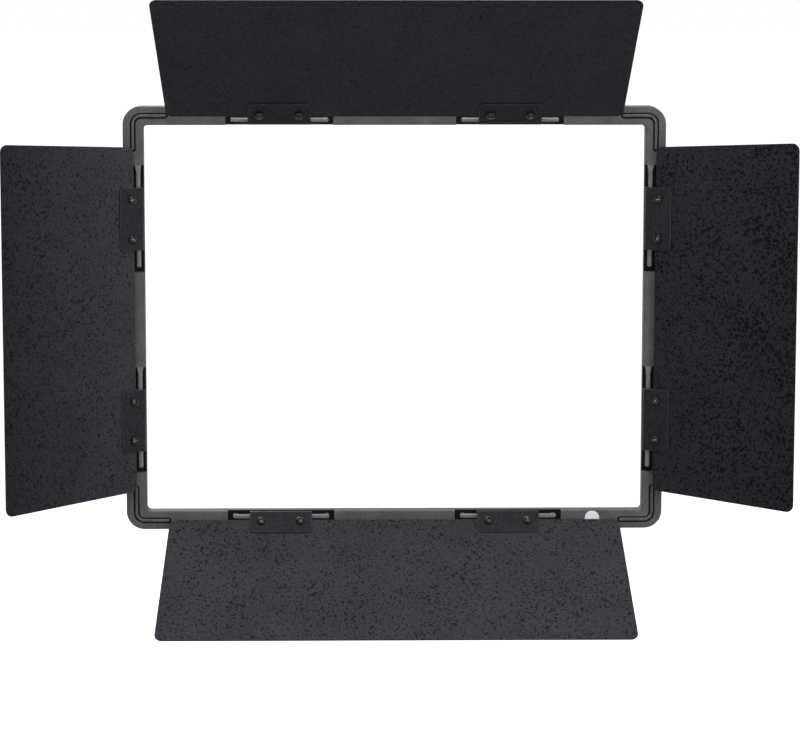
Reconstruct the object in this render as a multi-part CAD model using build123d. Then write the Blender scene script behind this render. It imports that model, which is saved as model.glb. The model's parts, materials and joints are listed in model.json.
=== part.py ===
from build123d import *
import os

os.makedirs("parts", exist_ok=True)

# Barn door attachment for a flat lighting panel, in millimetres.
# Origin: centre of the mounting face, on the back of the front frame.
# +Z is up and the front, where the leaves stand, faces -Y. The light shines through from +Y to -Y.

# ---- driving dimensions -------------------------------------------------------------------
# Front frame, one moulded piece
FRAME_WIDTH = 372.0
FRAME_HEIGHT = 293.6
FRAME_DEPTH = 12.0
SIDE_RAIL = 14.0  # width of the left and right rails, from the outer edge to the aperture
TOP_RAIL = 12.65  # width of the top and bottom rails
FRAME_CORNER_RADIUS = 12.3
APERTURE_CORNER_RADIUS = 3.0
FRONT_EDGE_RADIUS = 1.2
APERTURE_EDGE_CHAMFER = 0.6
FRONT_SKIN = 2.8
OUTER_WALL = 2.6
INNER_WALL = 2.2
RIB_THICKNESS = 1.2
RIB_SPACING = 16.0
RIB_SETBACK = 1.0  # the ribs stop this far short of the mounting face

# Decorative bead in the front of each corner
BEAD_WIDTH = 2.1
GROOVE_WIDTH = 1.0
GROOVE_DEPTH = 1.6
BEAD_CORNER_RADIUS = 5.5
BEAD_REACH = 31.0  # from the frame's outer edge to the end of each leg
BEAD_RISE = 0.5  # the bead stands this far out of the front face
BEAD_ROUNDING = 0.8
BEAD_ROOT = 0.4  # how far the bead goes on into the floor of its trough

# Mounting: threaded inserts in the corners, open to the back
INSERT_RADIUS = 2.3
INSERT_BORE_RADIUS = 1.5
INSERT_LENGTH = 5.0
INSERT_INSET = 8.4  # in from both outer edges
INSERT_BOSS_WALL = 1.9
INSERT_HOLE_CLEARANCE = 0.0
INSERT_HOLE_RELIEF = 1.2

# Hinge lines and the pockets that hold the hinge bars
HINGE_SPACING_X = 157.8  # between the two hinges of the top or bottom leaf
HINGE_SPACING_Z = 139.8  # between the two hinges of a side leaf
POCKET_LENGTH = 74.0
POCKET_FLOOR = 2.4
POCKET_LIP_WIDTH = 0.9

# Hinge bar: a round bar on two feet, held by two screws from behind
BAR_RADIUS = 1.45
BAR_END_GAP = 3.5  # from each end of the bar to the end of its pocket
FOOT_LENGTH = 4.0
FOOT_INSET = 0.1  # the feet and ramps start this far inside the bar's sides
BAR_END_CHAMFER = 0.6
RAMP_FLARE = 0.7  # the ramped end of a side bar widens by this much on each side
RAMP_CLEARANCE = 0.1
RAMP_OVERLAP = 0.5  # how far the ramp starts inside the bar's end chamfer
BAR_SCREW_RADIUS = 0.9
BAR_SCREW_HEAD_RADIUS = 1.8
BAR_SCREW_HEAD_HEIGHT = 1.3
BAR_SCREW_HEAD_CLEARANCE = 0.25
BAR_SCREW_REACH = 4.0  # how far it cuts into the foot
BAR_SCREW_SLOT_WIDTH = 0.6
BAR_SCREW_SLOT_LENGTH = 2.4
BAR_SCREW_SLOT_DEPTH = 0.8

# Leaves, in their own sizes: u runs outward from the hinge line, n towards the beam
SHEET = 1.0
LEAF_LENGTH = 105.0
LEAF_CORNER_RADIUS = 5.0
LONG_LEAF_MARGIN = 16.15  # from the aperture's side to the inner corner of a top or bottom leaf
LONG_LEAF_FLARE = 7.7  # each side widens by this much towards the outer edge
SHORT_LEAF_MARGIN = 14.9
SHORT_LEAF_FLARE = 6.55

# Clip: a folded sheet that wraps the hinge bar and clamps the leaf
CLIP_SHEET = 1.0
CLIP_LENGTH = 43.0
CLIP_FRONT_REACH = 17.2
CLIP_REAR_REACH = 13.0
CLIP_CORNER_RADIUS = 2.6
CLIP_NECK_RADIUS = 0.8  # bend between the roll and the rear flange
CLIP_MOUTH_RADIUS = 0.4
SAME_PLACE = 0.01  # how near an edge has to be to a place to be taken as there
BUSH_WALL = 0.98
BUSH_RUNNING_CLEARANCE = 0.05  # bush on the bar: turns stiffly
BUSH_SEAT_CLEARANCE = 0.02  # bush in the clip: does not turn
BUSH_END_SETBACK = 0.6
BUSH_SPLIT = 1.0
BUSH_SPLIT_ANGLE = 45.0  # from the leaf's plane, in the mouth of the clip

# Clamp screws and nuts, M3
SCREW_RADIUS = 1.5
SCREW_HOLE_CLEARANCE = 0.1
SCREW_HEAD_RADIUS = 3.05
SCREW_HEAD_HEIGHT = 2.1
SCREW_HEAD_EDGE = 0.8  # height of the straight side under the dome
SCREW_DOME_RADIUS = 1.9  # a point half way up the dome, and its height above the straight side
SCREW_DOME_RISE = 0.95
SCREW_TIP = 0.6  # how far the screw stands out of its nut
SCREW_SPACING = 27.0
RECESS_LENGTH = 3.3
RECESS_WIDTH = 0.8
RECESS_DEPTH = 1.3
NUT_ACROSS_FLATS = 5.5
NUT_HEIGHT = 2.4
NUT_THREAD_CLEARANCE = 0.02

# Inspection label on the bottom rail
LABEL_RADIUS = 5.0
LABEL_THICKNESS = 0.1
LABEL_FROM_SIDE = 48.5  # from the frame's right edge
LABEL_ABOVE_CENTRE = 1.2  # towards the aperture, from the middle of the rail

# Clearances and opening angles (0 is flat out in line with the frame, 90 straight forward)
OPEN_CLEARANCE = 0.3  # leaf's back face to the frame's front face when folded flat out
CLOSED_CLEARANCE = 1.65  # leaf's inner edge to the aperture's edge when folded over the light
HEAD_CLEARANCE = 0.9  # clamp screw's head to the aperture's edge when folded over the light
ROLL_CLEARANCE = 1.8  # clip's roll to the leaf's inner edge
POCKET_CLEARANCE = 1.3  # clip's roll to the pocket floor
LIP_CLEARANCE = 0.35  # front flange to the pocket's lip when folded over the light
TOP_ANGLE = 39.7
BOTTOM_ANGLE = 50.3
LEFT_ANGLE = 36.6
RIGHT_ANGLE = 30.2

# ---- derived places -----------------------------------------------------------------------
APERTURE_WIDTH = FRAME_WIDTH - 2 * SIDE_RAIL
APERTURE_HEIGHT = FRAME_HEIGHT - 2 * TOP_RAIL
ROLL_INNER = BAR_RADIUS + BUSH_RUNNING_CLEARANCE + BUSH_WALL + BUSH_SEAT_CLEARANCE
ROLL_OUTER = ROLL_INNER + CLIP_SHEET
LEAF_START = ROLL_OUTER + ROLL_CLEARANCE  # from the hinge line to the leaf's inner edge
AXLE_SETBACK = LEAF_START - CLOSED_CLEARANCE  # hinge line to the aperture's edge
FRONT_Y = -FRAME_DEPTH
CLIP_FACE = ROLL_OUTER  # the front flange is tangent to the roll
LEAF_FRONT_OFFSET = CLIP_FACE - CLIP_SHEET  # from the hinge line to the leaf's beam side
LEAF_BACK_OFFSET = LEAF_FRONT_OFFSET - SHEET
CLIP_BACK = LEAF_BACK_OFFSET - CLIP_SHEET
AXLE_DEPTH = LEAF_BACK_OFFSET - OPEN_CLEARANCE  # hinge line behind the front face
AXLE_Y = FRONT_Y + AXLE_DEPTH
AXLE_X = APERTURE_WIDTH / 2 + AXLE_SETBACK
AXLE_Z = APERTURE_HEIGHT / 2 + AXLE_SETBACK
FLOOR_DROP = ROLL_OUTER + POCKET_CLEARANCE  # from the hinge line back to the pocket floor
POCKET_DEPTH = AXLE_DEPTH + FLOOR_DROP
POCKET_LIP_HEIGHT = POCKET_CLEARANCE - LIP_CLEARANCE
HOLE_RADIUS = SCREW_RADIUS + SCREW_HOLE_CLEARANCE
SCREW_PLACES = (-SCREW_SPACING / 2, SCREW_SPACING / 2)
SCREW_DISTANCE = AXLE_SETBACK + HEAD_CLEARANCE + SCREW_HEAD_RADIUS  # from the hinge line
SCREW_LENGTH = CLIP_FACE - CLIP_BACK + NUT_HEIGHT + SCREW_TIP
BAR_LENGTH = POCKET_LENGTH - 2 * BAR_END_GAP
FOOT_CENTRE = BAR_LENGTH / 2 - FOOT_LENGTH / 2

# Each edge: turn about Y that takes the local frame there, hinge-line distance, hinge spacing,
# rail width, rest angle, and the local X sign of the bar end that carries a ramp (0 for none).
EDGES = {
    "top": (0, AXLE_Z, HINGE_SPACING_X, TOP_RAIL, TOP_ANGLE, 0),
    "bottom": (180, AXLE_Z, HINGE_SPACING_X, TOP_RAIL, BOTTOM_ANGLE, 0),
    "left": (-90, AXLE_X, HINGE_SPACING_Z, SIDE_RAIL, LEFT_ANGLE, 1),
    "right": (90, AXLE_X, HINGE_SPACING_Z, SIDE_RAIL, RIGHT_ANGLE, -1),
}
# Names of the two hinges of each edge, for local X negative and positive.
HINGE_NAMES = {
    "top": ("left", "right"),
    "bottom": ("right", "left"),
    "left": ("lower", "upper"),
    "right": ("upper", "lower"),
}


def save(node, shape):
    export_step(shape, f"parts/{node}.step")


def group(shapes):
    return Compound(children=[solid for shape in shapes for solid in shape.solids()])


def box(x0, x1, y0, y1, z0, z1):
    """A box between two corners."""
    centre = ((x0 + x1) / 2, (y0 + y1) / 2, (z0 + z1) / 2)
    return Pos(*centre) * Box(x1 - x0, y1 - y0, z1 - z0)


def ring(width, height, radius, band, y0, y1):
    """A rounded rectangular band about a centre line, from y0 back to y1."""
    outer = RectangleRounded(width + band, height + band, radius + band / 2)
    inner = RectangleRounded(width - band, height - band, radius - band / 2)
    return Pos(0, y0, 0) * Rot(-90, 0, 0) * extrude(outer - inner, y1 - y0)


def slab(width, height, radius, y0, y1):
    """A rounded rectangular block from y0 back to y1."""
    return Pos(0, y0, 0) * Rot(-90, 0, 0) * extrude(RectangleRounded(width, height, radius), y1 - y0)


def on_edge(edge, angle=0.0):
    """Takes the local frame, with its origin on the hinge line, to an edge of the frame."""
    turn, distance = EDGES[edge][:2]
    return Rot(0, turn, 0) * Pos(0, AXLE_Y, distance) * Rot(angle, 0, 0)


def both_hinges(edge):
    """The hinge names of an edge with their local X centres."""
    half = EDGES[edge][2] / 2
    return zip(HINGE_NAMES[edge], (-half, half))


# ---- front frame --------------------------------------------------------------------------
def corner_legs(band, front, back):
    """An L-shaped, round-ended strip in each corner, between two depths."""
    width = FRAME_WIDTH - SIDE_RAIL
    height = FRAME_HEIGHT - TOP_RAIL
    reach = BEAD_REACH - BEAD_WIDTH / 2 - GROOVE_WIDTH
    legs = []
    for sx in (-1, 1):
        for sz in (-1, 1):
            x = sx * (FRAME_WIDTH / 2 - reach)
            z = sz * (FRAME_HEIGHT / 2 - reach)
            corner = box(
                min(x, sx * FRAME_WIDTH), max(x, sx * FRAME_WIDTH), front, back,
                min(z, sz * FRAME_HEIGHT), max(z, sz * FRAME_HEIGHT),
            )
            leg = ring(width, height, BEAD_CORNER_RADIUS, band, front, back) & corner
            leg += rod(x, sz * height / 2, band / 2, front, back)
            leg += rod(sx * width / 2, z, band / 2, front, back)
            legs.append(leg)
    return legs


def corner_beads():
    """The rounded bead that stands in each corner's trough."""
    root = FRONT_Y + GROOVE_DEPTH + BEAD_ROOT
    beads = []
    for leg in corner_legs(BEAD_WIDTH, FRONT_Y - BEAD_RISE, root):
        front_edges = leg.faces().sort_by(Axis.Y)[0].edges()
        beads.append(fillet(front_edges, BEAD_ROUNDING))
    return beads


def insert_places():
    x = FRAME_WIDTH / 2 - INSERT_INSET
    z = FRAME_HEIGHT / 2 - INSERT_INSET
    return [(sx * x, sz * z) for sx in (-1, 1) for sz in (-1, 1)]


def rod(x, z, radius, y0, y1):
    """A round rod along Y."""
    return Pos(x, (y0 + y1) / 2, z) * Rot(90, 0, 0) * Cylinder(radius, y1 - y0)


def rail_ribs():
    """Cross ribs in the hollow back, clear of the pockets and the corner bosses."""
    ribs = []
    y0 = FRONT_Y + FRONT_SKIN
    for edge, (turn, distance, spacing, rail, _, _) in EDGES.items():
        half_run = (AXLE_X if rail == TOP_RAIL else AXLE_Z) - 2 * INSERT_INSET
        middle = distance - AXLE_SETBACK + rail / 2
        steps = int(half_run // RIB_SPACING)
        for step in range(-steps, steps + 1):
            x = step * RIB_SPACING
            if abs(abs(x) - spacing / 2) < POCKET_LENGTH / 2 + RIB_THICKNESS:
                continue
            rib = box(
                x - RIB_THICKNESS / 2, x + RIB_THICKNESS / 2, y0, -RIB_SETBACK,
                middle - rail / 2 + INNER_WALL / 2, middle + rail / 2 - OUTER_WALL / 2,
            )
            ribs.append(Rot(0, turn, 0) * rib)
    return ribs


def front_frame():
    body = slab(FRAME_WIDTH, FRAME_HEIGHT, FRAME_CORNER_RADIUS, FRONT_Y, 0)
    front_edges = body.faces().sort_by(Axis.Y)[0].edges()
    body = fillet(front_edges, FRONT_EDGE_RADIUS)
    body -= slab(APERTURE_WIDTH, APERTURE_HEIGHT, APERTURE_CORNER_RADIUS, FRONT_Y - 1, 1)
    inner_edges = body.faces().sort_by(Axis.Y)[0].inner_wires()[0].edges()
    body = chamfer(inner_edges, APERTURE_EDGE_CHAMFER)

    # hollow back between an outer wall and an aperture wall
    hollow_outer = slab(
        FRAME_WIDTH - 2 * OUTER_WALL, FRAME_HEIGHT - 2 * OUTER_WALL,
        FRAME_CORNER_RADIUS - OUTER_WALL, FRONT_Y + FRONT_SKIN, 1,
    )
    hollow_inner = slab(
        APERTURE_WIDTH + 2 * INNER_WALL, APERTURE_HEIGHT + 2 * INNER_WALL,
        APERTURE_CORNER_RADIUS + INNER_WALL, FRONT_Y + FRONT_SKIN, 1,
    )
    body -= hollow_outer - hollow_inner
    added = rail_ribs()
    for x, z in insert_places():
        added.append(rod(x, z, INSERT_RADIUS + INSERT_BOSS_WALL, FRONT_Y + FRONT_SKIN, 0))

    # a solid block behind each pocket, then the pocket itself, open to the aperture and outwards
    floor_y = FRONT_Y + POCKET_DEPTH
    trough = BEAD_WIDTH + 2 * GROOVE_WIDTH
    cuts = corner_legs(trough, FRONT_Y, FRONT_Y + GROOVE_DEPTH)
    for edge, (turn, distance, _, rail, _, _) in EDGES.items():
        inside = distance - AXLE_SETBACK
        for _, x in both_hinges(edge):
            half = POCKET_LENGTH / 2
            block = box(
                x - half - POCKET_FLOOR, x + half + POCKET_FLOOR, FRONT_Y + FRONT_SKIN,
                floor_y + POCKET_FLOOR, inside + INNER_WALL / 2, inside + rail - OUTER_WALL / 2,
            )
            pocket = box(x - half, x + half, FRONT_Y - 1, floor_y, inside - 1, inside + rail + 1)
            lip = box(
                x - half, x + half, floor_y - POCKET_LIP_HEIGHT, floor_y,
                inside, inside + POCKET_LIP_WIDTH,
            )
            added.append(Rot(0, turn, 0) * block)
            cuts.append(Rot(0, turn, 0) * (pocket - lip))
            for side in (-1, 1):
                place = x + side * FOOT_CENTRE
                recess = BAR_SCREW_HEAD_RADIUS + BAR_SCREW_HEAD_CLEARANCE
                hole = rod(place, distance, BAR_SCREW_RADIUS, floor_y - 1, 0)
                hole += rod(place, distance, recess, floor_y + POCKET_FLOOR, 1)
                cuts.append(Rot(0, turn, 0) * hole)
    body = body + added
    for x, z in insert_places():
        hole_radius = INSERT_RADIUS + INSERT_HOLE_CLEARANCE
        cuts.append(rod(x, z, hole_radius, -INSERT_LENGTH - INSERT_HOLE_RELIEF, 1))
    return body - cuts + corner_beads()


def mount_insert(x, z):
    outer = rod(x, z, INSERT_RADIUS, -INSERT_LENGTH, 0)
    return outer - rod(x, z, INSERT_BORE_RADIUS, -INSERT_LENGTH - 1, 1)


def label():
    x = FRAME_WIDTH / 2 - LABEL_FROM_SIDE
    z = -FRAME_HEIGHT / 2 + TOP_RAIL / 2 + LABEL_ABOVE_CENTRE
    return rod(x, z, LABEL_RADIUS, FRONT_Y - LABEL_THICKNESS, FRONT_Y)


# ---- hinge bars, local frame: hinge line along X through the origin, front towards -Y ------
def hinge_bar(ramp_side):
    """A round bar on two square feet. A ramp, where there is one, runs down to the pocket's end."""
    bar = Rot(0, 90, 0) * Cylinder(BAR_RADIUS, BAR_LENGTH)
    ends = bar.faces().filter_by(GeomType.PLANE).edges()
    bar = chamfer(ends, BAR_END_CHAMFER)
    narrow = BAR_RADIUS - FOOT_INSET
    for side in (-1, 1):
        x = side * FOOT_CENTRE
        half = FOOT_LENGTH / 2 - BAR_END_CHAMFER
        foot = box(x - half, x + half, 0, FLOOR_DROP, -narrow, narrow)
        bar += foot
    if ramp_side:
        start = BAR_LENGTH / 2 - BAR_END_CHAMFER - RAMP_OVERLAP
        end = POCKET_LENGTH / 2 - RAMP_CLEARANCE
        wide = BAR_RADIUS + RAMP_FLARE
        plan = Polygon(
            (start, -narrow), (end, -wide), (end, wide), (start, narrow), align=None,
        )
        block = Pos(0, FLOOR_DROP, 0) * Rot(90, 0, 0) * extrude(plan, FLOOR_DROP + BAR_RADIUS)
        slope = Polygon(
            (start, -narrow), (end, -AXLE_DEPTH), (end, FLOOR_DROP), (start, FLOOR_DROP),
            align=None,
        )
        block &= Pos(0, 0, -wide) * extrude(slope, 2 * wide)
        if ramp_side < 0:
            block = mirror(block, Plane.YZ)
        bar += block
    for side in (-1, 1):
        x = side * FOOT_CENTRE
        bar -= rod(x, 0, BAR_SCREW_RADIUS, FLOOR_DROP - BAR_SCREW_REACH, FLOOR_DROP + 1)
    return bar


def bar_screw(x):
    """A pan-head screw that comes from behind through the pocket floor into a foot."""
    seat = FLOOR_DROP + POCKET_FLOOR
    shank = rod(x, 0, BAR_SCREW_RADIUS, FLOOR_DROP - BAR_SCREW_REACH, seat)
    head = rod(x, 0, BAR_SCREW_HEAD_RADIUS, seat, seat + BAR_SCREW_HEAD_HEIGHT)
    top = seat + BAR_SCREW_HEAD_HEIGHT
    slots = []
    for turn in (0, 90):
        reach = BAR_SCREW_SLOT_LENGTH / 2
        half = BAR_SCREW_SLOT_WIDTH / 2
        slot = box(-reach, reach, top - BAR_SCREW_SLOT_DEPTH, top + 1, -half, half)
        slots.append(Pos(x, 0, 0) * Rot(0, turn, 0) * slot)
    return shank + head - slots


# ---- leaf pieces, local frame: u along +Z, n (towards the beam) along -Y -------------------
def leaf_sheet(half_inner, half_outer, spacing):
    end = LEAF_START + LEAF_LENGTH
    outline = Polygon(
        (-half_inner, LEAF_START), (half_inner, LEAF_START), (half_outer, end), (-half_outer, end),
        align=None,
    )
    outline = fillet(outline.vertices(), LEAF_CORNER_RADIUS)
    sheet = Pos(0, -LEAF_BACK_OFFSET, 0) * Rot(90, 0, 0) * extrude(outline, SHEET)
    holes = []
    for hinge in (-spacing / 2, spacing / 2):
        for place in SCREW_PLACES:
            holes.append(rod(hinge + place, SCREW_DISTANCE, HOLE_RADIUS, -CLIP_FACE, 0))
    return sheet - holes


def clip(x):
    """A sheet folded round the hinge bar, with the leaf held between its two flanges."""
    roll = Circle(ROLL_OUTER) - Circle(ROLL_INNER)
    front = Polygon(
        (0, LEAF_FRONT_OFFSET), (CLIP_FRONT_REACH, LEAF_FRONT_OFFSET),
        (CLIP_FRONT_REACH, CLIP_FACE), (0, CLIP_FACE), align=None,
    )
    neck = ROLL_INNER / 2
    rear = Polygon(
        (neck, CLIP_BACK), (CLIP_REAR_REACH, CLIP_BACK),
        (CLIP_REAR_REACH, LEAF_BACK_OFFSET), (neck, LEAF_BACK_OFFSET), align=None,
    )
    mouth = Polygon(
        (0, LEAF_BACK_OFFSET), (CLIP_FRONT_REACH, LEAF_BACK_OFFSET),
        (CLIP_FRONT_REACH, LEAF_FRONT_OFFSET), (0, LEAF_FRONT_OFFSET), align=None,
    )
    profile = (roll + rear - Circle(ROLL_INNER)) - mouth + front
    neck_corner = profile.vertices().sort_by_distance((ROLL_OUTER, CLIP_BACK, 0))[0]
    profile = fillet(neck_corner, CLIP_NECK_RADIUS)
    mouth_corner = profile.vertices().sort_by_distance((ROLL_INNER, LEAF_BACK_OFFSET, 0))[0]
    profile = fillet(mouth_corner, CLIP_MOUTH_RADIUS)
    # the profile lies in u and n; its length runs along the hinge line
    across = Plane(origin=(-CLIP_LENGTH / 2, 0, 0), x_dir=(0, 0, 1), z_dir=(1, 0, 0))
    folded = extrude(across * profile, CLIP_LENGTH)
    for reach in (CLIP_FRONT_REACH, CLIP_REAR_REACH):
        corners = folded.edges().filter_by(Axis.Y).filter_by_position(
            Axis.Z, reach - SAME_PLACE, reach + SAME_PLACE
        )
        folded = fillet(corners, CLIP_CORNER_RADIUS)
    holes = [rod(place, SCREW_DISTANCE, HOLE_RADIUS, -CLIP_FACE - 1, -CLIP_BACK + 1)
             for place in SCREW_PLACES]
    return Pos(x, 0, 0) * (folded - holes)


def bush(x):
    """A split plastic bush that the clip squeezes onto the bar."""
    length = CLIP_LENGTH - 2 * BUSH_END_SETBACK
    outer = Rot(0, 90, 0) * Cylinder(ROLL_INNER - BUSH_SEAT_CLEARANCE, length)
    bore = Rot(0, 90, 0) * Cylinder(BAR_RADIUS + BUSH_RUNNING_CLEARANCE, 2 * length)
    half = BUSH_SPLIT / 2
    split = Rot(BUSH_SPLIT_ANGLE, 0, 0) * box(-length, length, -half, half, 0, 2 * ROLL_OUTER)
    return Pos(x, 0, 0) * (outer - bore - split)


def clamp_screw(x):
    """M3 pan-head screw with a cross recess, its head on the beam side."""
    profile = make_face([
        Polyline((0, -CLIP_FACE + SCREW_LENGTH), (SCREW_RADIUS, -CLIP_FACE + SCREW_LENGTH),
                 (SCREW_RADIUS, -CLIP_FACE), (SCREW_HEAD_RADIUS, -CLIP_FACE),
                 (SCREW_HEAD_RADIUS, -CLIP_FACE - SCREW_HEAD_EDGE)),
        ThreePointArc((SCREW_HEAD_RADIUS, -CLIP_FACE - SCREW_HEAD_EDGE),
                      (SCREW_DOME_RADIUS, -CLIP_FACE - SCREW_HEAD_EDGE - SCREW_DOME_RISE),
                      (0, -CLIP_FACE - SCREW_HEAD_HEIGHT)),
        Line((0, -CLIP_FACE - SCREW_HEAD_HEIGHT), (0, -CLIP_FACE + SCREW_LENGTH)),
    ])
    screw = revolve(profile, Axis.Y)
    top = -CLIP_FACE - SCREW_HEAD_HEIGHT
    for turn in (45, -45):
        half = RECESS_LENGTH / 2
        slot = box(-half, half, top - 1, top + RECESS_DEPTH, -RECESS_WIDTH / 2, RECESS_WIDTH / 2)
        screw -= Rot(0, turn, 0) * slot
    return Pos(x, 0, SCREW_DISTANCE) * screw


def clamp_nut(x):
    outline = RegularPolygon(NUT_ACROSS_FLATS / 2, 6, major_radius=False)
    outline -= Circle(SCREW_RADIUS + NUT_THREAD_CLEARANCE)
    nut = Rot(-90, 0, 0) * extrude(outline, NUT_HEIGHT)
    return Pos(x, -CLIP_BACK, SCREW_DISTANCE) * nut


# ---- build and save -----------------------------------------------------------------------
save("front_frame", front_frame())
save("mount_inserts", group(mount_insert(x, z) for x, z in insert_places()))
save("inspection_label", label())

bar_screws = []
for edge, (turn, distance, spacing, rail, angle, ramp_side) in EDGES.items():
    fixed = on_edge(edge)
    leaning = on_edge(edge, angle)
    for name, x in both_hinges(edge):
        save(f"{edge}_hinge_bar_{name}", fixed * Pos(x, 0, 0) * hinge_bar(ramp_side))
        bar_screws += [fixed * bar_screw(x + side * FOOT_CENTRE) for side in (-1, 1)]
        save(f"{edge}_clip_{name}", leaning * clip(x))
        save(f"{edge}_bush_{name}", leaning * bush(x))

    if rail == TOP_RAIL:
        half_inner = APERTURE_WIDTH / 2 - LONG_LEAF_MARGIN
        half_outer = half_inner + LONG_LEAF_FLARE
    else:
        half_inner = APERTURE_HEIGHT / 2 - SHORT_LEAF_MARGIN
        half_outer = half_inner + SHORT_LEAF_FLARE
    save(f"{edge}_leaf", leaning * leaf_sheet(half_inner, half_outer, spacing))
    places = [x + place for _, x in both_hinges(edge) for place in SCREW_PLACES]
    save(f"{edge}_clamp_screws", group(leaning * clamp_screw(x) for x in places))
    save(f"{edge}_clamp_nuts", group(leaning * clamp_nut(x) for x in places))
save("hinge_bar_screws", group(bar_screws))
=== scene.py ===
import json
from math import cos, pi, radians, sin, tan

import bmesh
import bpy
from mathutils import Matrix, Vector


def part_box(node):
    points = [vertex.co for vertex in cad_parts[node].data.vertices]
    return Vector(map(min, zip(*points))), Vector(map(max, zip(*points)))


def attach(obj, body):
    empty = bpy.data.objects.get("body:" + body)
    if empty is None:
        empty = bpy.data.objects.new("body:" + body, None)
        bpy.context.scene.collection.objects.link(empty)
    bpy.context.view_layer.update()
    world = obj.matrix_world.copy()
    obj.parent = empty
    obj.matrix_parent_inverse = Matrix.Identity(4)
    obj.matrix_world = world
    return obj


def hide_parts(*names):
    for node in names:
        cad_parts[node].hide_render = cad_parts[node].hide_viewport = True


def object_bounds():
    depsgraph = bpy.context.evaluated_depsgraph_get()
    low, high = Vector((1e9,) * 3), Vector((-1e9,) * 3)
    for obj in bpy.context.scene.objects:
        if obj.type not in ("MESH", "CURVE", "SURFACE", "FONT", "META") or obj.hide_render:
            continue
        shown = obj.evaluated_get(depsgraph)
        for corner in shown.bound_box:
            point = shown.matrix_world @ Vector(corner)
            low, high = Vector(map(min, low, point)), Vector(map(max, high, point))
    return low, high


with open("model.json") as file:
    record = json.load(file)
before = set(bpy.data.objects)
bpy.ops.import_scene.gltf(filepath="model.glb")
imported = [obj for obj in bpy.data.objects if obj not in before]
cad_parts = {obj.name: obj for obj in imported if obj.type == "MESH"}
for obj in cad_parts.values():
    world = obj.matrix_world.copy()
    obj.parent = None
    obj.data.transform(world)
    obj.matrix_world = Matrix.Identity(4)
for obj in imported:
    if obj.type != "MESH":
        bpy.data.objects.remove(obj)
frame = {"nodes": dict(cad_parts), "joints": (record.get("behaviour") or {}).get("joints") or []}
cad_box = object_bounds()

# ---- Camera -------------------------------------------------------------------------------------
# A long lens stands well back, a little above the attachment and a touch to its left, and looks
# down at the middle of the frame's front face.
MM = 0.001
camera_distance = 2.298
camera_elevation = radians(8.35)
camera_azimuth = radians(-1.08)
camera_roll = radians(0.05)
lens = 149.62
sensor_width = 36.0
look_right_of_centre = 3.71 * MM
look_below_centre = 37.85 * MM

aim = Vector((look_right_of_centre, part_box("front_frame")[0].y, -look_below_centre))
tilt = Matrix.Rotation(radians(90) - camera_elevation, 4, "X")
heading = Matrix.Rotation(camera_azimuth, 4, "Z")
turn = heading @ tilt @ Matrix.Rotation(camera_roll, 4, "Z")
camera = bpy.data.objects.new("camera", bpy.data.cameras.new("camera"))
bpy.context.scene.collection.objects.link(camera)
camera.matrix_world = Matrix.Translation(aim + turn.col[2].xyz * camera_distance) @ turn
camera.data.sensor_width = sensor_width
camera.data.lens = lens
camera.data.clip_end = 100.0
bpy.context.scene.camera = camera
bpy.context.scene.view_settings.view_transform = "Standard"


# ---- Studio -------------------------------------------------------------------------------------
# White paper all round, lit from above and from the right by soft boxes, with a weak one at the
# left and one behind. The floor keeps the attachment's shadow and turns pure white further out.
class Value:
    """An output of a finish's nodes. Arithmetic on it adds the Math nodes that work it out."""

    def __init__(self, finish, socket):
        self.finish = finish
        self.socket = socket

    def maths(self, operation, first, second):
        return self.finish.node("ShaderNodeMath", {"operation": operation}, {0: first, 1: second})

    def __add__(self, other):
        return self.maths("ADD", self, other)

    def __radd__(self, other):
        return self.maths("ADD", other, self)

    def __sub__(self, other):
        return self.maths("SUBTRACT", self, other)

    def __rsub__(self, other):
        return self.maths("SUBTRACT", other, self)

    def __mul__(self, other):
        return self.maths("MULTIPLY", self, other)

    def __rmul__(self, other):
        return self.maths("MULTIPLY", other, self)

    def above(self, level, softness):
        """0 below a level and 1 above it, with a soft step between them."""
        settings = {"interpolation_type": "SMOOTHSTEP"}
        sockets = {"Value": self, "From Min": level - softness, "From Max": level + softness}
        return self.finish.node("ShaderNodeMapRange", settings, sockets)


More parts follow.
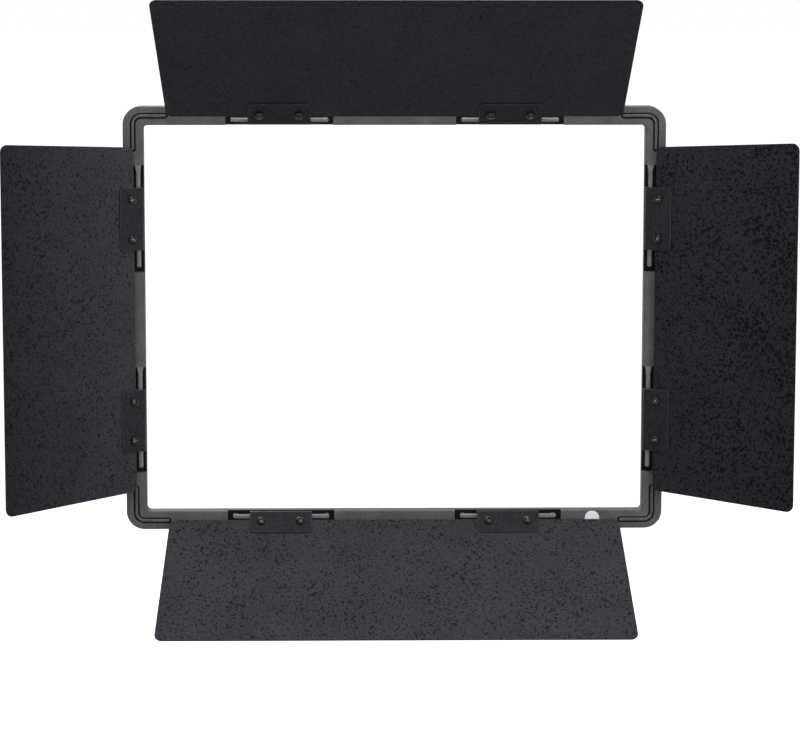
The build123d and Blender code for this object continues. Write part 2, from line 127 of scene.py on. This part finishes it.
class Finish:
    """The nodes of a material or of the world."""

    def __init__(self, name, owner=None):
        self.material = owner or bpy.data.materials.new(name)
        self.material.use_nodes = True
        self.tree = self.material.node_tree
        self.tree.nodes.clear()

    def node(self, kind, settings=None, sockets=None, output=0):
        """Adds a node, sets it up, then fills its sockets, and returns one of its outputs."""
        made = self.tree.nodes.new(kind)
        for name, value in (settings or {}).items():
            setattr(made, name, value)
        for name, value in (sockets or {}).items():
            socket = made.inputs[name]
            if isinstance(value, Value):
                self.tree.links.new(value.socket, socket)
            else:
                socket.default_value = value
        return Value(self, made.outputs[output]) if len(made.outputs) else made

    def place(self):
        """The point on the piece, in metres."""
        return self.node("ShaderNodeTexCoord", output="Object")

    def noise(self, size, detail=1.0):
        """Soft noise from 0 to 1 whose blotches are about that size."""
        sockets = {"Vector": self.place(), "Scale": 1 / size, "Detail": detail}
        return self.node("ShaderNodeTexNoise", None, sockets)

    def mix(self, factor, low, high):
        """A colour between two. The sockets are those of the node's colour form."""
        low, high = [c if isinstance(c, Value) else (*c, 1.0) for c in (low, high)]
        settings = {"data_type": "RGBA"}
        return self.node("ShaderNodeMix", settings, {0: factor, 6: low, 7: high}, output=2)

    def bump(self, height, depth, strength=1.0):
        sockets = {"Height": height, "Distance": depth, "Strength": strength}
        return self.node("ShaderNodeBump", None, sockets)

    def surface(self, **sockets):
        """Ends a material with its shader; an underscore stands for a space in a socket's name."""
        named = {name.replace("_", " "): value for name, value in sockets.items()}
        shader = self.node("ShaderNodeBsdfPrincipled", None, named)
        self.node("ShaderNodeOutputMaterial", None, {"Surface": shader})
        return self.material

    def open_air(self, reach):
        """1 on open surfaces, down to 0 at the bottom of the piece's own pockets and grooves."""
        settings = {"only_local": True, "samples": 6}
        return self.node("ShaderNodeAmbientOcclusion", settings, {"Distance": reach}, output="AO")

    def facing(self, axis):
        """1 on surfaces that face along an axis, 0 across it and -1 against it."""
        normal = self.node("ShaderNodeTexCoord", output="Normal")
        return self.node("ShaderNodeSeparateXYZ", None, {0: normal}, output=axis)

    def along(self, axis):
        """How far the point on the piece is along an axis."""
        return self.node("ShaderNodeSeparateXYZ", None, {0: self.place()}, output=axis)

    def seen(self):
        """1 where the eye sees this directly, in metal or through glass, and 0 for its light."""
        rays = [
            self.node("ShaderNodeLightPath", output=f"Is {ray} Ray")
            for ray in ("Camera", "Glossy", "Transmission")
        ]
        return rays[0] + rays[1] + rays[2]


surround_level = 0.2
paper_white = (1.0, 1.0, 1.0, 1.0)
world = bpy.data.worlds.new("surround")
bpy.context.scene.world = world
air = Finish("surround", world)
seen_air, fill_air = [
    air.node("ShaderNodeBackground", None, {"Color": paper_white, "Strength": strength})
    for strength in (1.0, surround_level)
]
both = air.node("ShaderNodeMixShader", None, {0: air.seen(), 1: fill_air, 2: seen_air})
air.node("ShaderNodeOutputWorld", None, {"Surface": both})

floor_drop = 0.45  # from the lowest point of the attachment, which is hung up on its lamp
floor_half = 20.0
floor_tone = (0.85, 0.85, 0.85, 1.0)
shadow_reach = 0.9  # the paper turns from shadowed to pure white about this far out
shadow_fade = 0.4
near_lift = 0.45
far_lift = 0.92
paper = Finish("floor_paper")
length_of = {"operation": "LENGTH"}
away = paper.node("ShaderNodeVectorMath", length_of, {0: paper.place()}, output="Value")
lift = near_lift + (far_lift - near_lift) * away.above(shadow_reach, shadow_fade)
shine = paper.seen() * lift
sheet = paper.node("ShaderNodeBsdfDiffuse", None, {"Color": floor_tone})
glow = paper.node("ShaderNodeEmission", None, {"Color": paper_white, "Strength": shine})
lit = paper.node("ShaderNodeAddShader", None, {0: sheet, 1: glow})
paper.node("ShaderNodeOutputMaterial", None, {"Surface": lit})

floor_mesh = bpy.data.meshes.new("floor")
square = [(-floor_half, -floor_half, 0), (floor_half, -floor_half, 0)]
square += [(floor_half, floor_half, 0), (-floor_half, floor_half, 0)]
floor_mesh.from_pydata(square, [], [(0, 1, 2, 3)])
floor_mesh.materials.append(paper.material)
floor = bpy.data.objects.new("floor", floor_mesh)
floor.location.z = cad_box[0][2] - floor_drop
bpy.context.scene.collection.objects.link(floor)


def soft_box(name, place, width, watts):
    """A square soft lamp that faces the middle of the attachment."""
    data = bpy.data.lights.new(name, "AREA")
    data.size = width
    data.energy = watts
    lamp = bpy.data.objects.new(name, data)
    facing = Vector(place).to_track_quat("Z", "Y").to_matrix().to_4x4()
    lamp.matrix_world = Matrix.Translation(place) @ facing
    bpy.context.scene.collection.objects.link(lamp)


soft_box("overhead_box", place=(0.0, -0.4, 1.0), width=0.8, watts=12.5)
soft_box("right_box", place=(1.8, -1.6, 0.4), width=1.2, watts=22.0)
soft_box("left_box", place=(-0.9, -0.9, 0.1), width=0.6, watts=1.5)
soft_box("back_box", place=(-0.8, 2.2, 1.2), width=1.2, watts=26.0)

# ---- Front frame --------------------------------------------------------------------------------
# One injection moulding in dark grey ABS with a spark-eroded grain, hollow and ribbed behind. It
# has an L-shaped bead between two grooves in each corner, and eight pockets for the hinge bars.
nodes = frame["nodes"]
plastic_light = (0.128, 0.119, 0.124)
plastic_dark = (0.052, 0.048, 0.051)
plastic_grain = 0.75 * MM
flow_size = 14 * MM
# near-black painted shade for the floors and sheltered walls of the grooves and pockets
painted_shade_black = (0.005, 0.005, 0.0055)
painted_shade_reach = 7 * MM
sunk_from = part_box("front_frame")[0].y + 2 * MM  # grooves and pockets have deeper floors
skin_depth = 1.3 * MM  # from there to the back of the front skin


def dress(node, *materials):
    """Gives a CAD piece its materials in place of the plain one."""
    nodes[node].data.materials.clear()
    for material in materials:
        nodes[node].data.materials.append(material)


moulded = Finish("moulded_grey")
grain = moulded.noise(plastic_grain, 2.0)
flow = moulded.noise(flow_size, 2.0)
shade = (grain * 0.75 + flow * 0.25).above(0.5, 0.17)

# Painted shade darkens the grooves and pockets of the front: their floors all over, painted
# near-black, and their walls only where the piece's own occlusion finds them sheltered. Faces that
# look up, where light from above would fall, get none. The hollow back is left unshaded.
deeper = moulded.along("Y") - sunk_from
front_skin = 1 - (deeper - skin_depth).above(0.0, 0.5 * MM)
sheltered = (1 - moulded.open_air(painted_shade_reach).above(0.8, 0.16)) * front_skin
looks_up = moulded.facing("Z").above(0.4, 0.3)
looks_out = (0 - moulded.facing("Y")).above(0.5, 0.3)
floors = deeper.above(0.0, 0.4 * MM) * looks_out
painted_shade = sheltered * (1 - looks_up) * (1 - floors) + floors
moulded.surface(
    Base_Color=moulded.mix(painted_shade, moulded.mix(shade, plastic_dark, plastic_light), painted_shade_black),
    Roughness=0.5 + grain * 0.2,
    Specular_IOR_Level=0.15,
    Normal=moulded.bump(grain, 0.06 * MM, 0.6),
)
dress("front_frame", moulded.material)


# ---- Threaded inserts ---------------------------------------------------------------------------
# Turned brass, with a diamond knurl in two bands round the outside and an M3 thread inside. They
# are pressed into the corner bosses from behind, flush with the mounting face.
weld_gap = 0.002 * MM  # corners of a CAD piece's faces that are this close are one corner


def rings_to_mesh(name, rings, materials, close=True):
    """Joins rings of as many points each into a skin, and the last ring to the first."""
    shape = bmesh.new()
    loops = [[shape.verts.new(point) for point in ring] for ring in rings]
    count = len(rings[0])
    pairs = list(zip(loops, loops[1:]))
    if close:
        pairs.append((loops[-1], loops[0]))
    for low, high in pairs:
        for i in range(count):
            j = (i + 1) % count
            shape.faces.new((low[i], low[j], high[j], high[i]))
    if not close:
        shape.faces.new(reversed(loops[0]))
        shape.faces.new(loops[-1])
    bmesh.ops.recalc_face_normals(shape, faces=shape.faces)
    mesh = bpy.data.meshes.new(name)
    shape.to_mesh(mesh)
    shape.free()
    for material in materials:
        mesh.materials.append(material)
    return mesh


def circle(radius, z, count):
    """A ring of points. The radius may be a function of the angle."""
    points = []
    for i in range(count):
        angle = 2 * pi * i / count
        reach = radius(angle) if callable(radius) else radius
        points.append((reach * cos(angle), reach * sin(angle), z))
    return points


def loose_parts(node):
    """The points of each separate solid of a CAD node."""
    shape = bmesh.new()
    shape.from_mesh(nodes[node].data)
    bmesh.ops.remove_doubles(shape, verts=shape.verts, dist=weld_gap)
    waiting = set(shape.verts)
    parts = []
    for start in shape.verts:
        if start not in waiting:
            continue
        waiting.remove(start)
        part = [start]
        for vertex in part:
            for edge in vertex.link_edges:
                other = edge.other_vert(vertex)
                if other in waiting:
                    waiting.remove(other)
                    part.append(other)
        parts.append([vertex.co.copy() for vertex in part])
    shape.free()
    return parts


def standing_on(points, frame_of_part):
    """A frame like the given one, with its origin on the axis of a part, and the part's z range."""
    inward = frame_of_part.inverted()
    local = [inward @ point for point in points]
    low = [min(point[i] for point in local) for i in range(3)]
    high = [max(point[i] for point in local) for i in range(3)]
    middle = Vector(((low[0] + high[0]) / 2, (low[1] + high[1]) / 2, 0))
    return frame_of_part @ Matrix.Translation(middle), low[2], high[2]


def copies(name, mesh, places, body, node):
    """One piece of several copies of a mesh, which stands for a CAD node."""
    shape = bmesh.new()
    for place in places:
        before = len(shape.verts)
        shape.from_mesh(mesh)
        shape.verts.ensure_lookup_table()
        bmesh.ops.transform(shape, matrix=place, verts=shape.verts[before:])
    joined = bpy.data.meshes.new(name)
    shape.to_mesh(joined)
    shape.free()
    for material in mesh.materials:
        joined.materials.append(material)
    joined.shade_smooth()
    joined.set_sharp_from_angle(angle=radians(32))
    piece = bpy.data.objects.new(name, joined)
    bpy.context.scene.collection.objects.link(piece)
    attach(piece, body)
    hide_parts(node)


def saw(turns):
    """A wave that rises from 0 to 1 and falls back, once for each whole turn."""
    part = turns % 1.0
    return 2 * part if part < 0.5 else 2 - 2 * part


brass_light = (0.72, 0.52, 0.22)
brass_dark = (0.46, 0.31, 0.11)
brass = Finish("turned_brass")
tarnish = brass.noise(1.2 * MM, 2.0)
brass.surface(
    Base_Color=brass.mix(tarnish.above(0.5, 0.25), brass_dark, brass_light),
    Metallic=1.0,
    Roughness=0.22 + tarnish * 0.2,
    Normal=brass.bump(brass.noise(0.25 * MM), 0.02 * MM, 0.4),
)

insert_low, insert_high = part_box("mount_inserts")
insert_length = insert_high.y - insert_low.y
insert_parts = loose_parts("mount_inserts")
insert_radius = (max(p.x for p in insert_parts[0]) - min(p.x for p in insert_parts[0])) / 2
insert_wall = 0.8 * MM
insert_bore = insert_radius - insert_wall
insert_chamfer = 0.25 * MM  # across each end
chamfer_length = 0.15 * MM
plain_band = 0.06  # without a knurl at the ends and in the middle, as a share of the length
knurl_depth = 0.16 * MM
knurl_teeth = 18
knurl_lean = 1.2 / MM  # how many teeth it leans past for each metre along the insert
thread_depth = 0.25 * MM
thread_pitch = 0.5 * MM
thread_mouth = 0.25 * MM
insert_sides = 72
insert_rows = 30

rings = [circle(insert_bore + thread_depth, 0, insert_sides)]
rings.append(circle(insert_radius - insert_chamfer, 0, insert_sides))
for row in range(insert_rows + 1):
    height = row / insert_rows
    z = chamfer_length + height * (insert_length - 2 * chamfer_length)
    plain = min(height, 1 - height, abs(height - 0.5)) < plain_band

    def knurled(angle, z=z, plain=plain):
        if plain:
            return insert_radius - knurl_depth
        turns = knurl_teeth * angle / (2 * pi)
        lean = knurl_lean * z
        return insert_radius - knurl_depth * (1 - saw(turns + lean) * saw(turns - lean))

    rings.append(circle(knurled, z, insert_sides))
rings.append(circle(insert_radius - insert_chamfer, insert_length, insert_sides))
rings.append(circle(insert_bore + thread_depth, insert_length, insert_sides))
bore_rows = int(insert_length / thread_pitch) * 4
for row in range(bore_rows + 1):
    z = insert_length - thread_mouth - (insert_length - 2 * thread_mouth) * row / bore_rows

    def threaded(angle, z=z):
        return insert_bore + thread_depth * saw(z / thread_pitch - angle / (2 * pi))

    rings.append(circle(threaded, z, insert_sides))
insert_mesh = rings_to_mesh("insert", rings, [brass.material])
facing_back = Matrix.Rotation(radians(-90), 4, "X")  # a part's z runs back, along +Y
insert_places = []
for part in insert_parts:
    place, low, _ = standing_on(part, facing_back)
    insert_places.append(place @ Matrix.Translation((0, 0, low)))
copies("knurled_inserts", insert_mesh, insert_places, "frame", "mount_inserts")

# ---- Hinge bars ---------------------------------------------------------------------------------
# Round bars in the frame's own grey, each on two feet at the bottom of its pocket. They are
# smoother than the frame, so they catch a line of light, and are faintly scored along their length.
bar_light = (0.165, 0.160, 0.160)
bar_dark = (0.085, 0.082, 0.083)
score_length = 6 * MM
score_slimness = 12.0  # its length over its width
speckle_size = 0.45 * MM


def bar_finish(name, along):
    """The bar's plastic, with fine scores that run along the bar."""
    made = Finish(name)
    stretch = [1.0 if axis == along else score_slimness for axis in "xyz"]
    multiply = {"operation": "MULTIPLY"}
    scored = made.node("ShaderNodeVectorMath", multiply, {0: made.place(), 1: stretch})
    sockets = {"Vector": scored, "Scale": 1 / score_length, "Detail": 2.0}
    scores = made.node("ShaderNodeTexNoise", None, sockets)
    speckle = made.noise(speckle_size)
    shade = (scores * 0.6 + speckle * 0.4).above(0.5, 0.16)
    made.surface(
        Base_Color=made.mix(shade, bar_dark, bar_light),
        Roughness=0.34 + speckle * 0.14,
        Specular_IOR_Level=0.55,
        Normal=made.bump(scores * 0.7 + speckle * 0.3, 0.05 * MM, 0.6),
    )
    return made.material


lying_bar = bar_finish("hinge_bar_lying", "x")
standing_bar = bar_finish("hinge_bar_standing", "z")
for edges, ends, bar in (
    (("top", "bottom"), ("left", "right"), lying_bar),
    (("left", "right"), ("upper", "lower"), standing_bar),
):
    for edge in edges:
        for end in ends:
            dress(f"{edge}_hinge_bar_{end}", bar)


# ---- Hinge bar screws ---------------------------------------------------------------------------
# Thread-forming pan-head screws in bright zinc. They come from behind, two to a bar, through the
# floor of the pocket into the bar's feet.
def cross_cutter(length, width, depth, rise):
    """The tapered four-winged punch that leaves a cross recess in a screw head."""
    shape = bmesh.new()
    taper = 0.62  # the size at its tip, as a share of its size at the mouth of the recess
    for turn in (0, 90):
        turned = Matrix.Rotation(radians(turn), 3, "Z")
        ends = []
        for z, scale in ((-depth, taper), (rise, 1 + (1 - taper) * rise / depth)):
            x = length / 2 * scale
            y = width / 2 * scale
            corners = [(-x, -y, z), (x, -y, z), (x, y, z), (-x, y, z)]
            ends.append([shape.verts.new(turned @ Vector(corner)) for corner in corners])
        low, high = ends
        shape.faces.new(reversed(low))
        shape.faces.new(high)
        for i in range(4):
            j = (i + 1) % 4
            shape.faces.new((low[i], low[j], high[j], high[i]))
    core = width * 0.75  # about the radius of the round middle of the cross
    bmesh.ops.create_cone(
        shape, cap_ends=True, segments=12, radius1=core * 0.35, radius2=core * 1.35,
        depth=depth + rise, matrix=Matrix.Translation((0, 0, (rise - depth) / 2)),
    )
    mesh = bpy.data.meshes.new("punch")
    shape.to_mesh(mesh)
    shape.free()
    return mesh


def cut_by(mesh, cutter):
    """The mesh less the cutter, worked out by a boolean modifier and kept as a plain mesh."""
    holder = bpy.data.objects.new("blank", mesh)
    tool = bpy.data.objects.new("punch", cutter)
    for item in (holder, tool):
        bpy.context.scene.collection.objects.link(item)
    cut = holder.modifiers.new("cut", "BOOLEAN")
    cut.operation = "DIFFERENCE"
    cut.solver = "EXACT"
    cut.use_self = True
    cut.object = tool
    bpy.context.view_layer.update()
    depsgraph = bpy.context.evaluated_depsgraph_get()
    result = bpy.data.meshes.new_from_object(holder.evaluated_get(depsgraph))
    for item in (holder, tool):
        bpy.data.objects.remove(item)
    return result


def pan_head_screw(name, head, side, shank, length, pitch, recess, materials):
    """A screw with its seat at z = 0, its head above and its threaded shank below.

    head is the head's radius and height, side the straight part of its height, and recess the
    length, width and depth of its cross. The second material is the one inside the recess.
    """
    head_radius, head_height = head
    crown = head_height - side
    head_sides = 48
    seat_edge = 0.12 * MM
    crown_steps = 8
    profile = [(head_radius - seat_edge, 0.0), (head_radius, seat_edge), (head_radius, side)]
    for step in range(1, crown_steps):
        angle = radians(90) * step / crown_steps
        profile.append((head_radius * cos(angle) ** 0.8, side + crown * sin(angle)))
    profile.append((head_radius * 0.06, head_height))
    rings = [circle(radius, z, head_sides) for radius, z in profile]
    blank = rings_to_mesh(name + "_head", rings, materials, close=False)
    punch = cross_cutter(recess[0], recess[1], recess[2], 0.3 * MM)
    punch.transform(Matrix.Translation((0, 0, head_height)))
    cut_head = cut_by(blank, punch)

    # Faces near the middle that lie this far below the dome's outline are the walls of the recess
    below_dome = 0.06 * MM
    for face in cut_head.polygons:
        middle = face.center
        out = min(1.0, middle.xy.length / head_radius)
        dome = side + crown * (1 - out ** 2.5) ** 0.5
        inside = middle.xy.length < recess[0] * 0.56 and middle.z > side * 0.2
        face.material_index = 1 if inside and dome - middle.z > below_dome else 0

    depth = 0.61 * pitch  # as deep as a metric thread
    shank_sides = 24
    rows_per_turn = 6
    in_head = 0.1 * MM  # how far the shank's upper end reaches into the head
    run_out_length = 0.5 * MM
    rows = int(length / pitch * rows_per_turn)
    rings = [circle(shank - depth, in_head, shank_sides)]
    for row in range(rows + 1):
        z = -length * row / rows
        run_out = min(1.0, (length + z) / run_out_length + 0.02)

        def thread(angle, z=z, run_out=run_out):
            crest = shank - depth + depth * saw(z / pitch - angle / (2 * pi))
            return min(crest, shank - depth * 1.3 * (1 - run_out))

        rings.append(circle(thread, z, shank_sides))
    threads = rings_to_mesh(name + "_shank", rings, materials, close=False)
    shape = bmesh.new()
    shape.from_mesh(cut_head)
    shape.from_mesh(threads)
    whole = bpy.data.meshes.new(name)
    shape.to_mesh(whole)
    shape.free()
    for material in materials:
        whole.materials.append(material)
    return whole


zinc_light = (0.66, 0.67, 0.68)
zinc_dark = (0.48, 0.49, 0.50)
zinc = Finish("bright_zinc")
spangle = zinc.noise(0.9 * MM, 2.0)
zinc.surface(
    Base_Color=zinc.mix(spangle.above(0.5, 0.2), zinc_dark, zinc_light),
    Metallic=1.0,
    Roughness=0.24 + spangle * 0.2,
    Normal=zinc.bump(zinc.noise(0.2 * MM), 0.015 * MM, 0.4),
)
bar_screw_head = (1.8 * MM, 1.3 * MM)
bar_screw_parts = loose_parts("hinge_bar_screws")
bar_screw_places = []
for part in bar_screw_parts:
    place, low, high = standing_on(part, facing_back)
    bar_screw_length = high - low - bar_screw_head[1]  # the same for all of them
    bar_screw_places.append(place @ Matrix.Translation((0, 0, low + bar_screw_length)))
bar_screw = pan_head_screw(
    "bar_screw", head=bar_screw_head, side=0.5 * MM, shank=0.9 * MM,
    length=bar_screw_length, pitch=0.7 * MM,
    recess=(2.2 * MM, 0.56 * MM, 0.8 * MM), materials=[zinc.material, zinc.material],
)
copies("bar_screws", bar_screw, bar_screw_places, "frame", "hinge_bar_screws")

# ---- Leaves -------------------------------------------------------------------------------------
# Aluminium sheet with rounded corners and four holes, in a charcoal powder coat. The coat has a
# fine orange peel and small black specks, larger and closer together towards some outer edges.
# Light and shade are painted into each leaf's coat as well.
charcoal = (0.0200, 0.0202, 0.0262)
mottle_dark = 0.56  # the dark of the coat's mottle, as a share of the pale
peel_size = 1.1 * MM
cloud_size = 35 * MM
speck_black = (0.0015, 0.0015, 0.002)
speck_spacing = 2.1 * MM
speck_softness = 0.2 * MM
speck_wander = 2.2 * MM  # how far the spots' outlines stray
crowd_size = 22 * MM  # of the areas where specks are larger
crowd_swing = 0.7 * MM
uneven_size = 3.2 * MM  # of the differences between neighbours
uneven_swing = 1.5 * MM
leaf_reach = 110 * MM  # from the hinge line to just past the outer edge
leaf_rounding = 0.2 * MM
joints = {joint["child"]: joint for joint in frame["joints"]}


def finish_edges(node, width, steps=2, rim_slot=-1):
    """Rounds the sharp edges of a CAD piece. The rounded faces can take a material of their own."""
    flat_within = radians(0.5)
    sharp_from = radians(40)
    weld = nodes[node].modifiers.new("joined_faces", "WELD")
    weld.merge_threshold = weld_gap
    joined = nodes[node].modifiers.new("joined_flats", "DECIMATE")
    joined.decimate_type = "DISSOLVE"
    joined.angle_limit = flat_within
    rounding = nodes[node].modifiers.new("rounded_edges", "BEVEL")
    rounding.width = width
    rounding.segments = steps
    rounding.limit_method = "ANGLE"
    rounding.angle_limit = sharp_from
    rounding.use_clamp_overlap = False
    rounding.harden_normals = True
    rounding.material = rim_slot


def leaf_frame(edge):
    """The leaf's own frame: x along the hinge, y out along the leaf, z out of its front face."""
    widest = max(nodes[f"{edge}_leaf"].data.polygons, key=lambda face: face.area).normal
    front = widest if widest.y < 0 else -widest
    along = Vector(joints[f"{edge}_leaf"]["axis"])
    out = front.cross(along).normalized()
    place = Matrix((along, out, front)).transposed().to_4x4()
    place.translation = Vector(joints[f"{edge}_leaf"]["pos_m"])
    return place


def speckles(finish, spacing, radius, softness, wander):
    """Irregular spots of that radius, about one to each cell of that spacing."""
    drift_size = 1.6 * MM
    sockets = {"Vector": finish.place(), "Scale": 1 / drift_size, "Detail": 2.0}
    drift = finish.node("ShaderNodeTexNoise", None, sockets, output="Color")
    push = {"operation": "MULTIPLY_ADD"}
    sockets = {0: drift, 1: (wander, wander, wander), 2: finish.place()}
    pushed = finish.node("ShaderNodeVectorMath", push, sockets)
    sockets = {"Vector": pushed, "Scale": 1 / spacing}
    near = finish.node("ShaderNodeTexVoronoi", None, sockets, output="Distance")
    return (radius - near * spacing).above(0.0, softness)


# For each leaf: how black its specks are, their radius at the hinge, how much it grows towards the
# outer edge, and how pale the coat is painted at the hinge and at the outer edge, which is painted
# light and shade for how the light falls on that leaf
coats = {
    "top": (0.5, 0.5 * MM, 0.0, 1.1, 1.1),
    "bottom": (0.72, 0.62 * MM, 0.0, 1.98, 1.86),
    "left": (0.72, 0.52 * MM, 0.22 * MM, 2.08, 0.66),
    "right": (1.0, 0.62 * MM, 0.3 * MM, 1.08, 0.84),
}
for edge, (blackness, radius, growth, painted_light_near, painted_light_far) in coats.items():
    coat = Finish(f"{edge}_powder_coat")
    place = leaf_frame(edge)
    out = place.col[1].xyz
    start = out.dot(place.translation)
    dot_product = {"operation": "DOT_PRODUCT"}
    sockets = {0: coat.place(), 1: out}
    reached = coat.node("ShaderNodeVectorMath", dot_product, sockets, output="Value")
    outwards = (reached - start) * (1 / leaf_reach)
    crowd = coat.noise(crowd_size) - 0.5
    uneven = coat.noise(uneven_size) - 0.5
    size = outwards * growth + crowd * crowd_swing + uneven * uneven_swing + radius
    specks = speckles(coat, speck_spacing, size, speck_softness, speck_wander)
    peel = coat.noise(peel_size, 2.0)
    cloud = coat.noise(cloud_size, 2.0)
    mottle = (peel * 0.8 + cloud * 0.2).above(0.5, 0.12)
    # Painted light and shade: the coat is scaled paler or darker for each leaf and from its hinge
    # to its outer edge
    tones = []
    for painted_light_level in (painted_light_near, painted_light_far):
        dark = [level * painted_light_level * mottle_dark for level in charcoal]
        pale = [level * painted_light_level for level in charcoal]
        tones.append(coat.mix(mottle, dark, pale))
    coat.surface(
        Base_Color=coat.mix(specks * blackness, coat.mix(outwards, *tones), speck_black),
        Roughness=0.6 + specks * 0.25,
        Specular_IOR_Level=0.1,
        Normal=coat.bump(peel * 0.4 - specks * 0.7, 0.08 * MM, 0.5),
    )
    dress(f"{edge}_leaf", coat.material)
    finish_edges(f"{edge}_leaf", leaf_rounding)

# ---- Bushes -------------------------------------------------------------------------------------
# Split sleeves of black nylon. Each clip squeezes one onto its bar, so that the leaf turns stiffly
# and stays where it is put.
nylon_dark = (0.014, 0.014, 0.015)
nylon_light = (0.026, 0.026, 0.028)
nylon = Finish("black_nylon")
haze = nylon.noise(1.5 * MM, 2.0)
nylon.surface(
    Base_Color=nylon.mix(haze, nylon_dark, nylon_light),
    Roughness=0.38 + haze * 0.15,
    Normal=nylon.bump(haze, 0.03 * MM, 0.4),
)
for node in nodes:
    if "_bush_" in node:
        dress(node, nylon.material)

# ---- Clips --------------------------------------------------------------------------------------
# Steel sheet, stamped with rounded corners and rolled round the bar and its bush, in satin black
# enamel with fine scuffs and a few grains of dust. Its rounded edges are painted paler, partly as
# rubbed wear and partly as a painted highlight along them.
enamel_black = (0.0035, 0.0036, 0.0056)
enamel_worn = (0.0190, 0.0192, 0.0240)
rim_wear_and_highlight = (0.034, 0.034, 0.036)
dust_grey = (0.12, 0.12, 0.12)
dust_spacing = 6 * MM
dust_radius = 0.22 * MM
clip_rounding = 0.3 * MM
enamel = Finish("satin_black_enamel")
ripple = enamel.noise(1.1 * MM, 2.0)
rub = enamel.noise(7 * MM, 3.0)
dust = speckles(enamel, dust_spacing, dust_radius, softness=0.05 * MM, wander=0.2 * MM)
worn = (ripple * 0.8 + rub * 0.2).above(0.52, 0.12)
enamel.surface(
    Base_Color=enamel.mix(dust * 0.5, enamel.mix(worn, enamel_black, enamel_worn), dust_grey),
    Roughness=0.44 + ripple * 0.14,
    Specular_IOR_Level=0.13,
    Normal=enamel.bump(ripple, 0.04 * MM, 0.5),
)
# The rim on the rounded edges: partly rubbed wear, partly a painted highlight
rim = Finish("rubbed_and_highlit_rim")
patchy = rim.noise(1.4 * MM, 2.0)
rim.surface(
    Base_Color=rim.mix(patchy.above(0.55, 0.2), enamel_worn, rim_wear_and_highlight),
    Roughness=0.4 + patchy * 0.1,
    Specular_IOR_Level=0.25,
    Normal=rim.bump(patchy, 0.03 * MM, 0.4),
)
for node in nodes:
    if "_clip_" in node:
        dress(node, enamel.material, rim.material)
        finish_edges(node, clip_rounding, steps=3, rim_slot=1)

# ---- Clamp screws and nuts ----------------------------------------------------------------------
# M3 pan-head screws and hexagon nuts in black zinc, two pairs to a clip. They clamp the clip's two
# flanges on the leaf. The driver has rubbed the cross recesses bright.
zinc_black = (0.010, 0.010, 0.010)
zinc_rubbed = (0.034, 0.032, 0.030)
recess_dark = (0.03, 0.027, 0.024)
recess_bright = (0.52, 0.49, 0.46)
blackened = Finish("black_zinc")
film = blackened.noise(0.6 * MM, 2.0)
blackened.surface(
    Base_Color=blackened.mix(film.above(0.55, 0.2), zinc_black, zinc_rubbed),
    Metallic=0.85,
    Roughness=0.26 + film * 0.16,
    Normal=blackened.bump(blackened.noise(0.2 * MM), 0.015 * MM, 0.4),
)
bared = Finish("driver_worn_recess")
scuff = bared.noise(0.5 * MM, 2.0)
bared.surface(
    Base_Color=bared.mix(scuff.above(0.52, 0.10), recess_dark, recess_bright),
    Metallic=1.0,
    Roughness=0.22 + scuff * 0.2,
)
screw_head = (3.05 * MM, 2.1 * MM)
first_turn = 8  # degrees; no two of a leaf's screws were left at the same angle
turn_step = 31
nut_flats = 5.5 * MM
nut_face = 2.6 * MM  # radius of the flat ring inside the chamfer
nut_bore = 1.5 * MM
nut_mouth = nut_bore + 0.3 * MM
nut_sides = 48


def nut(height):
    """A hexagon nut, chamfered at 30 degrees on both faces, from z = 0 up."""
    def hexagon(angle):
        return nut_flats / 2 / cos((angle + radians(30)) % radians(60) - radians(30))

    mouth_depth = nut_mouth - nut_bore
    rings = [circle(nut_bore, mouth_depth, nut_sides), circle(nut_mouth, 0, nut_sides)]
    rings.append(circle(nut_face, 0, nut_sides))
    low = []
    high = []
    for x, y, _ in circle(hexagon, 0, nut_sides):
        slope = max(0.0, (x * x + y * y) ** 0.5 - nut_face) * tan(radians(30))
        low.append((x, y, slope))
        high.append((x, y, height - slope))
    rings += [low, high, circle(nut_face, height, nut_sides)]
    rings.append(circle(nut_mouth, height, nut_sides))
    rings.append(circle(nut_bore, height - mouth_depth, nut_sides))
    return rings_to_mesh("nut", rings, [blackened.material])


for edge in coats:
    body = f"{edge}_leaf"
    own_frame = leaf_frame(edge)
    screw_places = []
    for index, part in enumerate(loose_parts(f"{edge}_clamp_screws")):
        place, low, high = standing_on(part, own_frame)
        screw_length = high - low - screw_head[1]  # the same for all of them
        seat = Matrix.Translation((0, 0, low + screw_length))
        turned = Matrix.Rotation(radians(first_turn + turn_step * index), 4, "Z")
        screw_places.append(place @ seat @ turned)
    screw = pan_head_screw(
        "clamp_screw", head=screw_head, side=0.8 * MM, shank=1.5 * MM,
        length=screw_length, pitch=0.5 * MM,
        recess=(3.4 * MM, 0.85 * MM, 1.3 * MM), materials=[blackened.material, bared.material],
    )
    replaced = f"{edge}_clamp_screws"
    copies(f"{edge}_pan_head_screws", screw, screw_places, body, replaced)
    nut_places = []
    for part in loose_parts(f"{edge}_clamp_nuts"):
        place, low, high = standing_on(part, own_frame)
        nut_places.append(place @ Matrix.Translation((0, 0, low)))
    replaced = f"{edge}_clamp_nuts"
    copies(f"{edge}_hexagon_nuts", nut(high - low), nut_places, body, replaced)

# ---- Inspection label ---------------------------------------------------------------------------
# A small round sticker of matt white paper on the front of the bottom rail, half hidden by the
# bottom leaf. It is left blank.
paper_shade = (0.70, 0.71, 0.72)
paper_light = (0.82, 0.83, 0.84)
label_paper = Finish("label_paper")
fibre = label_paper.noise(0.5 * MM, 3.0)
label_paper.surface(
    Base_Color=label_paper.mix(fibre, paper_shade, paper_light),
    Roughness=0.55 + fibre * 0.2,
    Normal=label_paper.bump(fibre, 0.02 * MM, 0.5),
)
dress("inspection_label", label_paper.material)
